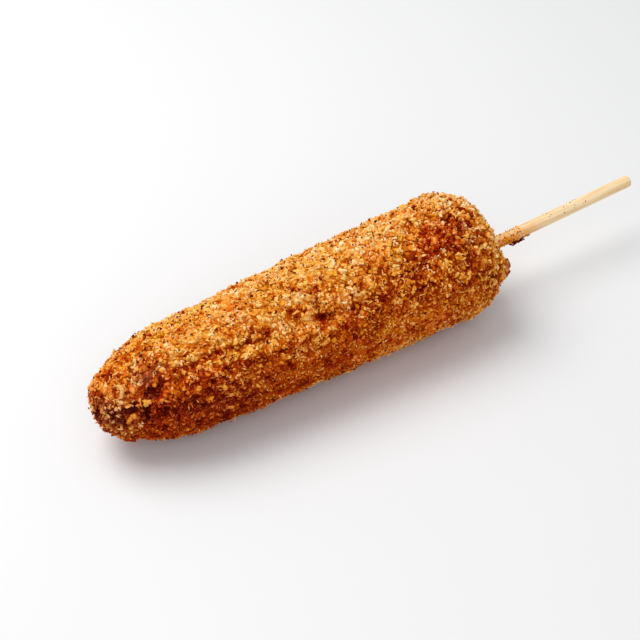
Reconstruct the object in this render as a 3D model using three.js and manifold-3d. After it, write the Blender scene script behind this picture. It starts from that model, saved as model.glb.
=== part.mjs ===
// A corn cob fried in a crumb crust on a round wooden stick, lying on its side.
// Millimetres, +Z up. The cob's tip points along -X and the stick along +X. The origin is the
// bottom centre of the whole.
import * as THREE from 'three';
import { ImprovedNoise } from 'three/addons/math/ImprovedNoise.js';
import { mergeVertices } from 'three/addons/utils/BufferGeometryUtils.js';
import Module from 'manifold-3d';

const wasm = await Module();
wasm.setup();

// ---- Driving dimensions ----

// Girth of the crust: distance from the tip, radius there. A smooth curve runs through them.
const cobGirths = [
  [0, 0],
  [2.2, 8.8],
  [8, 14.3],
  [18, 19.6],
  [32, 24.4],
  [52, 25.8],
  [90, 27.9],
  [136, 29.4],
  [173, 30.2],
  [188, 29.0],
  [197, 24.2],
  [202, 14.4],
  [204, 0],
];
const cobLength = cobGirths.at(-1)[0];

// The cob's middle line: it rises towards the thick end and bends a little at the tip.
const tipHeight = 24.4;
const buttHeight = 30.0;
const tipBend = 2.3;
const tipBendPower = 4;

// The stick: a dowel that runs off the middle of the thick end, tilted up by a few degrees.
const stickDiameter = 6;
const stickLength = 150;
const stickInsertion = 61.5;
const stickExit = new THREE.Vector3(cobLength, -2.6, 27.4);
const stickTilt = 3.1;
const stickSwing = -0.4;
const stickEndRounding = 0.9;
const stickSides = 20;
const roundingSteps = 2;

// The socket that the stick sits in, which runs on out of the crust.
const socketGap = 0.35;
const socketMouth = 40;

// The crust as a net of points: spacing along and round the cob, and the share of it that a point
// may stray.
const netSpacing = 3.15;
const tipNetSpacing = 2.5;
const tipNetReach = 30;
const netStray = 0.24;
const fewestRingPoints = 6;

// Relief of the crust: single crumbs, clusters and lumps of a size, and faint rows of kernels that
// wander and fade in and out. Heights are along the surface's normal.
const crumbHeight = 0.95;
const clusters = { size: 7, height: 0.9, shift: 3.7 };
const lumps = { size: 27, height: 0.9, shift: 11.3 };
const kernelRows = 14;
const rowDepth = 0.4;
const rowWander = { size: 60, height: 0.6, shift: 5.1 };
const rowFade = { size: 34, height: 0.5, shift: 8.9 };

// Single humps (height above 0) and hollows: distance from the tip and angle round the cob, where
// 0 is the +Y side, 90 the top and 180 the -Y side, then their reach and their height.
const humps = [
  { along: 20, angle: 130, reach: 4.2, height: -3.0 },
  { along: 21, angle: 112, reach: 4.0, height: 1.0 },
  { along: 17, angle: 147, reach: 2.4, height: 1.8 },
  { along: 8, angle: 118, reach: 3.4, height: 1.4 },
  { along: 10, angle: 168, reach: 3.0, height: 1.5 },
  { along: 5, angle: 150, reach: 2.6, height: 0.9 },
  { along: 6, angle: 65, reach: 3.6, height: 1.0 },
  { along: 11, angle: 225, reach: 4.0, height: 1.1 },
  { along: 12, angle: 320, reach: 4.4, height: 1.2 },
  { along: 60, angle: 20, reach: 8.0, height: -1.0 },
  { along: 100, angle: 131, reach: 3.2, height: -1.6 },
  { along: 118, angle: 345, reach: 9.0, height: 0.9 },
  { along: 144, angle: 123, reach: 4.5, height: -1.0 },
  { along: 146, angle: 30, reach: 5.0, height: -1.3 },
  { along: 174, angle: 104, reach: 7.0, height: -1.2 },
  { along: 178, angle: 128, reach: 6.0, height: -1.0 },
  { along: 184, angle: 50, reach: 6.0, height: 1.0 },
  { along: 188, angle: 320, reach: 7.0, height: 1.2 },
  { along: 191, angle: 205, reach: 6.0, height: 1.0 },
  { along: 192, angle: 76, reach: 4.5, height: 0.8 },
];

// Furrows between two points of the crust: distance from the tip and angle of each end. The first
// is the cleft that sets off the tip.
const furrows = [
  { from: [14.5, 150], to: [13.5, 215], width: 2.0, depth: 2.4 },
  { from: [30, 121], to: [66, 128], width: 3.0, depth: 1.3 },
  { from: [66, 128], to: [126, 139], width: 3.4, depth: 0.8 },
  { from: [126, 139], to: [168, 126], width: 4.0, depth: 0.8 },
  { from: [36, 60], to: [96, 50], width: 3.2, depth: 0.8 },
  { from: [70, 330], to: [150, 348], width: 4.0, depth: 0.9 },
];

// The crust's collar, which climbs the stick where it leaves the cob.
const collarHeight = 2.6;
const collarReach = 3.4;

// Larger crumbs and clumps fused onto the crust, as squashed icosahedra. Sink and stray are shares
// of the crumb's radius, and the other distances keep crumbs off the ends, floor, stick and each
// other.
const crumbs = { count: 80, radius: [1.3, 2.7], squash: [0.55, 1.0], narrow: 0.7, sink: 0.35 };
const crumbCornerStray = 0.22;
const crumbFreeOfEnds = 2.5;
const crumbFreeOfFloor = 4.5;
const crumbFreeOfStick = 9;
const crumbFreeOfCrumbs = 4.4;

// A husk-like flake that stands off the thick end.
const flake = { along: 196, angle: 168, length: 10, width: 8, thickness: 2.6, rise: 1.6, lean: 28 };

// Crumbs on the stick, crowded towards the cob, and the dark clump below it. Distances are from
// the cob's end.
const stickCrumbs = { count: 26, start: 5, end: 24, radius: [0.45, 0.95], crowding: 1.6 };
const stickCrumbSquash = 0.8;
const stickCrumbSink = 0.1;
const stickClump = { start: 14, length: 9, width: 3.8, thickness: 2.8, sink: 0.2 };

const randomSeed = 41;

// ---- Helpers ----

const degrees = Math.PI / 180;
const noise = new ImprovedNoise();
THREE.MathUtils.seededRandom(randomSeed);

function randomBetween(low, high) {
  return low + (high - low) * THREE.MathUtils.seededRandom();
}

// Smooth noise whose waves are about wave.size long and at most wave.height high.
function smoothNoise(point, wave) {
  const { size, height, shift } = wave;
  return height * noise.noise(point.x / size + shift, point.y / size, point.z / size);
}

// A smooth bump of height 1 that falls to a third at its reach.
function bell(distance, reach) {
  return Math.exp(-((distance / reach) ** 2));
}

function bareGeometry(geometry) {
  geometry.deleteAttribute('normal');
  geometry.deleteAttribute('uv');
  return mergeVertices(geometry);
}

function toSolid(geometry) {
  const bare = bareGeometry(geometry);
  const vertProperties = new Float32Array(bare.attributes.position.array);
  const triVerts = new Uint32Array(bare.index.array);
  return new wasm.Manifold(new wasm.Mesh({ numProp: 3, vertProperties, triVerts }));
}

function toGeometry(solid) {
  const mesh = solid.getMesh();
  const geometry = new THREE.BufferGeometry();
  geometry.setAttribute('position', new THREE.BufferAttribute(mesh.vertProperties, 3));
  geometry.setIndex(new THREE.BufferAttribute(mesh.triVerts, 1));
  geometry.computeVertexNormals();
  return geometry;
}

// A crumb: an icosahedron with its corners moved in and out, squashed, turned and placed.
function crumbSolid(place, radius, squash) {
  const crumb = bareGeometry(new THREE.IcosahedronGeometry(1, 0));
  const corners = crumb.attributes.position;
  const corner = new THREE.Vector3();
  for (let i = 0; i < corners.count; i += 1) {
    corner.fromBufferAttribute(corners, i);
    corner.multiplyScalar(randomBetween(1 - crumbCornerStray, 1 + crumbCornerStray));
    corners.setXYZ(i, corner.x, corner.y, corner.z);
  }
  const { point, normal } = place;
  const spin = new THREE.Quaternion().setFromAxisAngle(normal, randomBetween(0, 2 * Math.PI));
  const upright = new THREE.Quaternion().setFromUnitVectors(new THREE.Vector3(0, 0, 1), normal);
  const narrow = radius * randomBetween(crumbs.narrow, 1);
  const scale = new THREE.Vector3(radius, narrow, radius * squash);
  crumb.applyMatrix4(new THREE.Matrix4().compose(point, spin.multiply(upright), scale));
  return toSolid(crumb);
}

// ---- The cob's smooth form ----

const girthCurve = new THREE.CatmullRomCurve3(
  cobGirths.map(([along, radius]) => new THREE.Vector3(along, radius, 0)),
  false,
  'centripetal',
);
girthCurve.arcLengthDivisions = 800;
const girthLength = girthCurve.getLength();

function middleLine(along) {
  const share = THREE.MathUtils.clamp(along / cobLength, 0, 1);
  const side = tipBend * (1 - share) ** tipBendPower;
  return new THREE.Vector3(along, side, THREE.MathUtils.lerp(tipHeight, buttHeight, share));
}

// A place on the smooth form: share of the girth curve's length and angle round the cob.
function smoothPlace(share, angle) {
  const girth = girthCurve.getPointAt(share);
  const slope = girthCurve.getTangentAt(share);
  const around = new THREE.Vector3(0, Math.cos(angle), Math.sin(angle));
  const point = middleLine(girth.x).addScaledVector(around, girth.y);
  const normal = around.multiplyScalar(slope.x);
  normal.x = -slope.y;
  return { point, normal: normal.normalize(), along: girth.x, radius: girth.y, angle };
}

// The share of the girth curve at a distance from the tip, found by halving.
function shareAt(along) {
  let low = 0;
  let high = 1;
  for (let halving = 0; halving < 30; halving += 1) {
    const middle = (low + high) / 2;
    if (girthCurve.getPointAt(middle).x < along) {
      low = middle;
    } else {
      high = middle;
    }
  }
  return low;
}

// ---- The stick's line ----

const stickRadius = stickDiameter / 2;
const stickDirection = new THREE.Vector3(1, 0, 0)
  .applyAxisAngle(new THREE.Vector3(0, -1, 0), stickTilt * degrees)
  .applyAxisAngle(new THREE.Vector3(0, 0, 1), stickSwing * degrees);

function distanceToStickLine(point) {
  return point.clone().sub(stickExit).cross(stickDirection).length();
}

// ---- Relief ----

// The turn from one angle to another, the short way round, in radians.
function turn(from, to) {
  return Math.atan2(Math.sin(to - from), Math.cos(to - from));
}

// How far a place lies from a spot of the crust, measured on the surface.
function distanceToSpot(place, along, angle) {
  return Math.hypot(place.along - along, turn(angle * degrees, place.angle) * place.radius);
}

function distanceToFurrow(place, furrow) {
  const [startAlong, startAngle] = furrow.from;
  const [endAlong, endAngle] = furrow.to;
  const runAlong = endAlong - startAlong;
  const runRound = (endAngle - startAngle) * degrees * place.radius;
  const toAlong = place.along - startAlong;
  const toRound = turn(startAngle * degrees, place.angle) * place.radius;
  const share = (toAlong * runAlong + toRound * runRound) / (runAlong ** 2 + runRound ** 2);
  const held = THREE.MathUtils.clamp(share, 0, 1);
  return Math.hypot(toAlong - held * runAlong, toRound - held * runRound);
}

// Height of the crust above the smooth form, without the single crumbs.
function crustHeight(place) {
  let height = smoothNoise(place.point, clusters) + smoothNoise(place.point, lumps);
  const fade = rowFade.height + smoothNoise(place.point, rowFade);
  const rowAngle = kernelRows * (place.angle + smoothNoise(place.point, rowWander));
  height += rowDepth * fade * Math.cos(rowAngle);
  for (const hump of humps) {
    height += hump.height * bell(distanceToSpot(place, hump.along, hump.angle), hump.reach);
  }
  for (const furrow of furrows) {
    height -= furrow.depth * bell(distanceToFurrow(place, furrow), furrow.width);
  }
  if (place.along > cobLength / 2) {
    const clear = Math.max(0, distanceToStickLine(place.point) - stickRadius);
    height += collarHeight * bell(clear, collarReach);
  }
  return height;
}

// A place on the crust; extra raises it further along the normal.
function crustPlace(share, angle, extra) {
  const place = smoothPlace(share, angle);
  place.point.addScaledVector(place.normal, crustHeight(place) + extra);
  return place;
}

// ---- The crusted cob ----

// Where the net's rings lie, from tip to thick end: their share of the girth curve and spacing.
function ringPlaces() {
  const places = [];
  let travelled = 0;
  while (travelled < girthLength) {
    const along = girthCurve.getPointAt(travelled / girthLength).x;
    const blend = THREE.MathUtils.smoothstep(along, 0, tipNetReach);
    const spacing = THREE.MathUtils.lerp(tipNetSpacing, netSpacing, blend);
    travelled += spacing * Math.sin(60 * degrees);
    places.push({ share: travelled / girthLength, spacing });
  }
  return places.slice(0, -1);
}

// The net: a point at each end and rings between, each with as many points as its girth needs.
// What would lie below the floor is pressed flat on it.
function crustGeometry() {
  const positions = [];
  const triangles = [];

  function addPoint(point) {
    positions.push(point.x, point.y, Math.max(point.z, 0));
    return positions.length / 3 - 1;
  }

  const tip = addPoint(crustPlace(0, 0, 0).point);
  const rings = ringPlaces().map(({ share, spacing }, index) => {
    const girth = 2 * Math.PI * girthCurve.getPointAt(share).y;
    const count = Math.max(fewestRingPoints, Math.round(girth / spacing));
    const offset = (index % 2) / 2;
    const points = [];
    for (let i = 0; i < count; i += 1) {
      const strayRound = randomBetween(-netStray, netStray);
      const strayAlong = (randomBetween(-netStray, netStray) * spacing) / girthLength;
      const angle = ((i + offset + strayRound) / count) * 2 * Math.PI;
      const crumb = randomBetween(-crumbHeight, crumbHeight);
      points.push(addPoint(crustPlace(share + strayAlong, angle, crumb).point));
    }
    return { points, offset };
  });
  const butt = addPoint(crustPlace(1, 0, 0).point);

  // Two rings are zipped: the next triangle takes its corner from the ring that lags behind.
  function zip(lower, upper) {
    const lowerCount = lower.points.length;
    const upperCount = upper.points.length;
    let i = 0;
    let j = 0;
    while (i < lowerCount || j < upperCount) {
      const lowerNext = (i + 1 + lower.offset) / lowerCount;
      const upperNext = (j + 1 + upper.offset) / upperCount;
      const a = lower.points[i % lowerCount];
      const b = upper.points[j % upperCount];
      if (j >= upperCount || (i < lowerCount && lowerNext <= upperNext)) {
        triangles.push(a, lower.points[(i + 1) % lowerCount], b);
        i += 1;
      } else {
        triangles.push(a, upper.points[(j + 1) % upperCount], b);
        j += 1;
      }
    }
  }

  const first = rings[0].points;
  const last = rings.at(-1).points;
  first.forEach((point, i) => triangles.push(tip, first[(i + 1) % first.length], point));
  for (let i = 0; i + 1 < rings.length; i += 1) {
    zip(rings[i], rings[i + 1]);
  }
  last.forEach((point, i) => triangles.push(point, last[(i + 1) % last.length], butt));

  const geometry = new THREE.BufferGeometry();
  geometry.setAttribute('position', new THREE.Float32BufferAttribute(positions, 3));
  geometry.setIndex(triangles);
  return geometry;
}

// Larger crumbs, spread by drawing places at random and keeping those that stand clear.
function crustCrumbs() {
  const kept = [];
  let joined = null;
  while (kept.length < crumbs.count) {
    const along = randomBetween(crumbFreeOfEnds, cobLength - crumbFreeOfEnds);
    const angle = randomBetween(0, 2 * Math.PI);
    const radius = randomBetween(...crumbs.radius);
    const squash = randomBetween(...crumbs.squash);
    const place = crustPlace(shareAt(along), angle, -crumbs.sink * radius);
    const offFloor = place.point.z > crumbFreeOfFloor;
    const offStick = distanceToStickLine(place.point) > crumbFreeOfStick;
    const apart = kept.every((point) => point.distanceTo(place.point) > crumbFreeOfCrumbs);
    if (offFloor && offStick && apart) {
      kept.push(place.point);
      const crumb = crumbSolid(place, radius, squash);
      joined = joined ? joined.add(crumb) : crumb;
    }
  }
  return joined;
}

function flakeSolid() {
  const { point } = crustPlace(shareAt(flake.along), flake.angle * degrees, flake.rise);
  const geometry = new THREE.IcosahedronGeometry(0.5, 1);
  geometry.scale(flake.thickness, flake.width, flake.length);
  geometry.rotateZ(-flake.lean * degrees);
  geometry.translate(point.x, point.y, point.z);
  return toSolid(geometry);
}

// A rod on the stick's line between two distances from the cob's end, its edges rounded.
function rodSolid(radius, from, to) {
  const profile = [new THREE.Vector2(0, from)];
  for (let step = 0; step <= roundingSteps; step += 1) {
    const bend = (90 * degrees * step) / roundingSteps;
    const inward = stickEndRounding * (1 - Math.sin(bend));
    profile.push(new THREE.Vector2(radius - inward, from + stickEndRounding * (1 - Math.cos(bend))));
  }
  for (let step = roundingSteps; step >= 0; step -= 1) {
    const bend = (90 * degrees * step) / roundingSteps;
    const inward = stickEndRounding * (1 - Math.sin(bend));
    profile.push(new THREE.Vector2(radius - inward, to - stickEndRounding * (1 - Math.cos(bend))));
  }
  profile.push(new THREE.Vector2(0, to));
  const geometry = new THREE.LatheGeometry(profile, stickSides);
  const aim = new THREE.Quaternion().setFromUnitVectors(new THREE.Vector3(0, 1, 0), stickDirection);
  geometry.applyQuaternion(aim);
  geometry.translate(stickExit.x, stickExit.y, stickExit.z);
  return toSolid(geometry);
}

function cobSolid() {
  const socket = rodSolid(stickRadius + socketGap, -stickInsertion - socketGap, socketMouth);
  return toSolid(crustGeometry()).add(crustCrumbs()).add(flakeSolid()).subtract(socket);
}

// ---- The stick ----

// A place on the stick: distance from the cob's end and angle round it, where 0 is its top.
function stickPlace(distance, angle, height) {
  const normal = stickDirection.clone().cross(new THREE.Vector3(0, 1, 0)).normalize();
  normal.applyAxisAngle(stickDirection, angle);
  const point = stickExit.clone().addScaledVector(stickDirection, distance);
  return { point: point.addScaledVector(normal, stickRadius + height), normal };
}

function clumpSolid() {
  const middle = stickClump.start + stickClump.length / 2;
  const { point } = stickPlace(middle, Math.PI, -stickClump.sink * stickClump.thickness);
  const geometry = new THREE.IcosahedronGeometry(0.5, 1);
  geometry.scale(stickClump.length, stickClump.width, stickClump.thickness);
  geometry.rotateY(-stickTilt * degrees);
  geometry.translate(point.x, point.y, point.z);
  return toSolid(geometry);
}

function stickSolid() {
  let solid = rodSolid(stickRadius, -stickInsertion, stickLength - stickInsertion);
  for (let i = 0; i < stickCrumbs.count; i += 1) {
    const share = randomBetween(0, 1) ** stickCrumbs.crowding;
    const distance = THREE.MathUtils.lerp(stickCrumbs.start, stickCrumbs.end, share);
    const radius = randomBetween(...stickCrumbs.radius);
    const place = stickPlace(distance, randomBetween(0, 2 * Math.PI), -stickCrumbSink * radius);
    solid = solid.add(crumbSolid(place, radius, stickCrumbSquash));
  }
  return solid.add(clumpSolid());
}

// ---- Assembly ----

function pieceMesh(name, solid, color, roughness) {
  const material = new THREE.MeshStandardMaterial({ color, roughness, metalness: 0 });
  const mesh = new THREE.Mesh(toGeometry(solid), material);
  mesh.name = name;
  return mesh;
}

const group = new THREE.Group();
group.add(pieceMesh('crusted_cob', cobSolid(), 0xc98a45, 0.75));
group.add(pieceMesh('stick', stickSolid(), 0xe6c592, 0.6));

// The group moves so that the origin is the bottom centre of its box.
const box = new THREE.Box3().setFromObject(group);
const centre = box.getCenter(new THREE.Vector3());
group.position.set(-centre.x, -centre.y, -box.min.z);
group.updateMatrixWorld(true);

export default group;
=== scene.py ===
import math
from itertools import product

import bpy
import numpy as np
from mathutils import Matrix, Vector


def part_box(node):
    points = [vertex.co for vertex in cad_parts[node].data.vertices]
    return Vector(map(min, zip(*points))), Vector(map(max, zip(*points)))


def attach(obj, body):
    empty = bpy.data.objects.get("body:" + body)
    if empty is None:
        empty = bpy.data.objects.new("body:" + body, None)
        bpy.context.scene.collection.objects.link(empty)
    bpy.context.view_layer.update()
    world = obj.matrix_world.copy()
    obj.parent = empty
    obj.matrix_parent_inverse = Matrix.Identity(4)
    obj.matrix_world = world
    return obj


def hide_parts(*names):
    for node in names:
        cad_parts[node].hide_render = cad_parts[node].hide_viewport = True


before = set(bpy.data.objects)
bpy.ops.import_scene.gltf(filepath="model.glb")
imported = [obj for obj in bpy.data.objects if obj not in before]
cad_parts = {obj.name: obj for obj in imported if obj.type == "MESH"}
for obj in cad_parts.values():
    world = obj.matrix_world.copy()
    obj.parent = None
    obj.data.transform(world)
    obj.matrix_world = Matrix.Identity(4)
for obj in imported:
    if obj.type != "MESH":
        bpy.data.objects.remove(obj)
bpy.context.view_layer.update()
scene = bpy.context.scene
millimetre = 0.001
floorMargin = 0.02  # mm that the lowest crumbs keep above the floor

cameraSettings = {
    "place": (-0.28843, -0.38651, 0.4532),
    "turn": 32.2,  # degrees from +Y towards +X
    "down": 42.8,  # degrees below level
    "focal": 1397,  # in pixels
    "width": 640,  # of the frame in pixels
    "sensor": 36,  # mm
    "aside": (21, -0.9),  # the axis is then turned by these pixels, to the right and up
}
lightSettings = {
    "lamps": {
        "key": {"place": (-0.32, 0.42, 0.95), "size": 0.75, "watts": 9.0, "colour": (1.0, 0.985, 0.96)},
        "front": {"place": (-0.55, -0.9, 0.75), "size": 1.2, "watts": 4.0, "colour": (1.0, 0.99, 0.98)},
    },
    "aim": (0.0, 0.0, 0.02),
    "sky": 0.5,
    "skyColour": (0.97, 0.985, 1.0),
}
floorSettings = {"reach": 9.0, "colour": (0.8, 0.805, 0.815), "roughness": 0.9}


# The linear colour of one given as screen values from 0 to 255.
def linear(red, green, blue):
    screen = np.array((red, green, blue)) / 255
    return tuple(np.where(screen <= 0.04045, screen / 12.92, ((screen + 0.055) / 1.055) ** 2.4)) + (1.0,)


def newObject(name, data):
    thing = bpy.data.objects.new(name, data)
    scene.collection.objects.link(thing)
    return thing


def newMaterial(name):
    material = bpy.data.materials.new(name)
    material.use_nodes = True
    nodes = material.node_tree.nodes
    return material, nodes, material.node_tree.links, nodes["Principled BSDF"]


def addCamera(settings):
    turn, down = math.radians(settings["turn"]), math.radians(settings["down"])
    ahead = Vector((math.cos(down) * math.sin(turn), math.cos(down) * math.cos(turn), -math.sin(down)))
    right = Vector((math.cos(turn), -math.sin(turn), 0))
    up = right.cross(ahead)
    asideRight, asideUp = settings["aside"]
    axis = (ahead * settings["focal"] + right * asideRight + up * asideUp).normalized()
    right = axis.cross(up).normalized()
    turned = Matrix((right, right.cross(axis), -axis)).transposed().to_4x4()
    camera = newObject("camera", bpy.data.cameras.new("camera"))
    camera.data.sensor_width = settings["sensor"]
    camera.data.lens = settings["focal"] / settings["width"] * settings["sensor"]
    camera.matrix_world = Matrix.Translation(settings["place"]) @ turned
    scene.camera = camera


def addLights(settings):
    for name, each in settings["lamps"].items():
        lamp = bpy.data.lights.new(name, "AREA")
        lamp.energy, lamp.size, lamp.color = each["watts"], each["size"], each["colour"]
        light = newObject(name, lamp)
        light.location = each["place"]
        fromAim = Vector(each["place"]) - Vector(settings["aim"])
        light.rotation_euler = fromAim.to_track_quat("Z", "Y").to_euler()
    world = bpy.data.worlds.new("sky")
    world.use_nodes = True
    sky = world.node_tree.nodes["Background"]
    sky.inputs["Color"].default_value = settings["skyColour"] + (1.0,)
    sky.inputs["Strength"].default_value = settings["sky"]
    scene.world = world


def addFloor(settings):
    reach = settings["reach"]
    mesh = bpy.data.meshes.new("floor")
    corners = [(x * reach, y * reach, 0) for x, y in ((-1, -1), (1, -1), (1, 1), (-1, 1))]
    mesh.from_pydata(corners, [], [(0, 1, 2, 3)])
    floor = newObject("floor", mesh)
    material, _, _, shader = newMaterial("paleFloor")
    shader.inputs["Base Color"].default_value = settings["colour"] + (1.0,)
    shader.inputs["Roughness"].default_value = settings["roughness"]
    mesh.materials.append(material)


scene.view_settings.view_transform = "Standard"
addCamera(cameraSettings)
addLights(lightSettings)
addFloor(floorSettings)
print("camera, lights and floor are in place")

latticeSteps = np.array((73856093, 19349663, 83492791), np.int64)  # large primes, one a coordinate
seedStep = 2654435761
mixFactors = (0xFF51AFD7ED558CCD, 0xC4CEB9FE1A85EC53)


# A steady random number from 0 to 1 for each cell of a lattice, by mixing its coordinates' bits.
def cellRandom(cells, seed):
    mixed = ((cells.astype(np.int64) * latticeSteps).sum(-1) + seed * seedStep).astype(np.uint64)
    for factor in mixFactors:
        mixed = (mixed ^ (mixed >> np.uint64(33))) * np.uint64(factor)
    return ((mixed ^ (mixed >> np.uint64(33))) >> np.uint64(11)) / 2.0**53


def smoothStep(low, high, value):
    share = np.clip((value - low) / (high - low), 0, 1)
    return share * share * (3 - 2 * share)


# Random values from -1 to 1 at a lattice's corners, blended smoothly; size may differ by axis.
def smoothNoise(points, size, seed):
    place = points / np.asarray(size, float)
    cell = np.floor(place)
    share = smoothStep(0, 1, place - cell)
    total = 0
    for corner in product((0, 1), repeat=3):
        weight = np.prod(np.where(corner, share, 1 - share), -1)
        total = total + weight * cellRandom(cell + corner, seed)
    return 2 * total - 1


def waveAt(points, waves):
    return waves["height"] * smoothNoise(points, waves["size"], waves["seed"])


# Distance to the nearest of scattered cell middles in shares of size, gap to the next, its number.
def cellPattern(points, size, seed):
    place = points / size
    home = np.floor(place)
    nearest = np.full(len(points), np.inf)
    second = nearest.copy()
    number = np.zeros(len(points))
    for shift in product((-1, 0, 1), repeat=3):
        cell = home + shift
        middle = cell + np.stack([cellRandom(cell, seed + axis) for axis in range(3)], -1)
        distance = np.linalg.norm(place - middle, axis=1)
        closer = distance < nearest
        second = np.where(closer, nearest, np.minimum(second, distance))
        number = np.where(closer, cellRandom(cell, seed + 3), number)
        nearest = np.where(closer, distance, nearest)
    return nearest, second - nearest, number


def unitRows(rows):
    return rows / np.linalg.norm(rows, axis=-1, keepdims=True)


# Evenly spaced angles that don't repeat the first one.
def fullTurn(count, turn=2 * np.pi):
    return np.linspace(0, turn, count, endpoint=False)


# Degrees from one angle to another, from -180 to 180.
def turnFrom(middle, degrees):
    return (degrees - middle + 180) % 360 - 180


# Every pair of two rows of values, as two long rows.
def allPairs(first, second):
    return (each.ravel() for each in np.meshgrid(first, second, indexing="ij"))


# Random directions square to the given ones.
def sidewaysFrom(directions, rng):
    return unitRows(np.cross(directions, rng.normal(0, 1, directions.shape)))


cobForm = {
    "girths": (  # distance from the tip, radius there
        (0, 0), (2.2, 8.8), (8, 14.3), (18, 19.6), (32, 24.4), (52, 25.8), (90, 27.9),
        (136, 29.4), (173, 30.2), (188, 29.0), (197, 24.2), (202, 14.4), (204, 0),
    ),
    "girthSteps": 80,
    "tipHeight": 24.4,
    "buttHeight": 30.0,
    "tipBend": 2.3,
    "tipBendPower": 4,
    "tipToStickEnd": 292.48,
    "sideShift": -0.0117,
}  # fmt: skip
stickForm = {
    "exit": (204.0, -2.6, 27.4),  # from the tip, before the side shift
    "tilt": 3.1,
    "swing": -0.4,
    "radius": 3.0,
    "inside": 61.5,
    "outside": 88.5,
}
cobLength = cobForm["girths"][-1][0]
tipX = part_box("stick")[1].x / millimetre - cobForm["tipToStickEnd"]


# A centripetal Catmull-Rom curve through the girths, as points of distance from the tip and radius.
def girthCurve(girths, steps):
    given = np.array(girths, float)
    given = np.vstack((2 * given[0] - given[1], given, 2 * given[-1] - given[-2]))
    share = np.linspace(0, 1, steps, endpoint=False)[:, None]
    parts = []
    for i in range(1, len(given) - 2):
        before, start, end, after = given[i - 1 : i + 3]
        chord = end - start
        first, middle, last = (np.linalg.norm(gap) ** 0.5 for gap in (start - before, chord, after - end))
        leave = ((start - before) / first - (end - before) / (first + middle) + chord / middle) * middle
        reach = (chord / middle - (after - start) / (middle + last) + (after - end) / last) * middle
        squared = -3 * start + 3 * end - 2 * leave - reach
        cubed = 2 * start - 2 * end + leave + reach
        parts.append(start + leave * share + squared * share**2 + cubed * share**3)
    return np.vstack((*parts, given[-2]))


girth = girthCurve(cobForm["girths"], cobForm["girthSteps"])
girthArc = np.concatenate(([0], np.cumsum(np.linalg.norm(np.diff(girth, axis=0), axis=1))))
girthLength = girthArc[-1]
girthSlope = unitRows(np.gradient(girth, girthArc, axis=0))


def girthAt(arc):
    return np.interp(arc, girthArc, girth[:, 0]), np.interp(arc, girthArc, girth[:, 1])


def arcAt(along):
    return np.interp(along, girth[:, 0], girthArc)


# The cob's middle line: it bends aside at the tip and rises evenly to the thick end.
def middleLine(along):
    share = np.clip(along / cobLength, 0, 1)
    side = cobForm["tipBend"] * (1 - share) ** cobForm["tipBendPower"] + cobForm["sideShift"]
    height = cobForm["tipHeight"] + (cobForm["buttHeight"] - cobForm["tipHeight"]) * share
    return np.stack((along + tipX, side, height), -1)


# Point and outward normal of the smooth form: the girth curve's point, carried round the middle line.
def formPlace(arc, angle):
    along, radius = girthAt(arc)
    slopeAlong, slopeOut = (np.interp(arc, girthArc, girthSlope[:, k]) for k in (0, 1))
    outward = np.stack((np.zeros_like(angle), np.cos(angle), np.sin(angle)), -1)
    normal = outward * slopeAlong[..., None]
    normal[..., 0] = -slopeOut
    return middleLine(along) + radius[..., None] * outward, unitRows(normal)


# The stick's exit point, its direction, its upper side and its shown side.
def stickAxes():
    tilt, swing = math.radians(stickForm["tilt"]), math.radians(stickForm["swing"])
    direction = (math.cos(tilt) * math.cos(swing), math.cos(tilt) * math.sin(swing), math.sin(tilt))
    upper = unitRows(np.cross(direction, (0, 1, 0)))
    exitPoint = np.array(stickForm["exit"]) + (tipX, cobForm["sideShift"], 0)
    return exitPoint, np.array(direction), upper, np.cross(direction, upper)


stickExit, stickDirection, stickUpper, stickSide = stickAxes()


def stickDistance(points):
    return np.linalg.norm(np.cross(points - stickExit, stickDirection), axis=-1)


# Point on the stick at a distance from the cob's end and an angle from its top, and the outward normal.
def stickPlace(distance, degrees, radius):
    angle = np.radians(degrees)[..., None]
    outward = np.cos(angle) * stickUpper + np.sin(angle) * stickSide
    return stickExit + distance[..., None] * stickDirection + radius * outward, outward


reliefSettings = {
    "averageReach": 2.0,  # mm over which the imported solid's surface is averaged
    "faintReach": 10,  # and over which it is, faintly, where no corner of it is near
    "faint": 1e-9,
    "arcSteps": 120,
    "angleSteps": 92,
    "girthStride": 4,
    "stickClearance": 3.7,
    "sink": 1.3,  # the surface between the crumbs lies this far below
    "warp": {"size": 2.3, "reach": 0.9, "seed": 41},  # makes the clusters' outlines uneven
    "clusters": {"size": 3.9, "height": 0.65, "seed": 11},
    "grains": {"size": 1.9, "height": 0.4, "seed": 23},
    "clusterRange": (0.35, 0.8),  # a cluster's least height, and how much more the highest has
    "domeReach": 0.85,
    "domeGap": 0.3,
}
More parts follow.
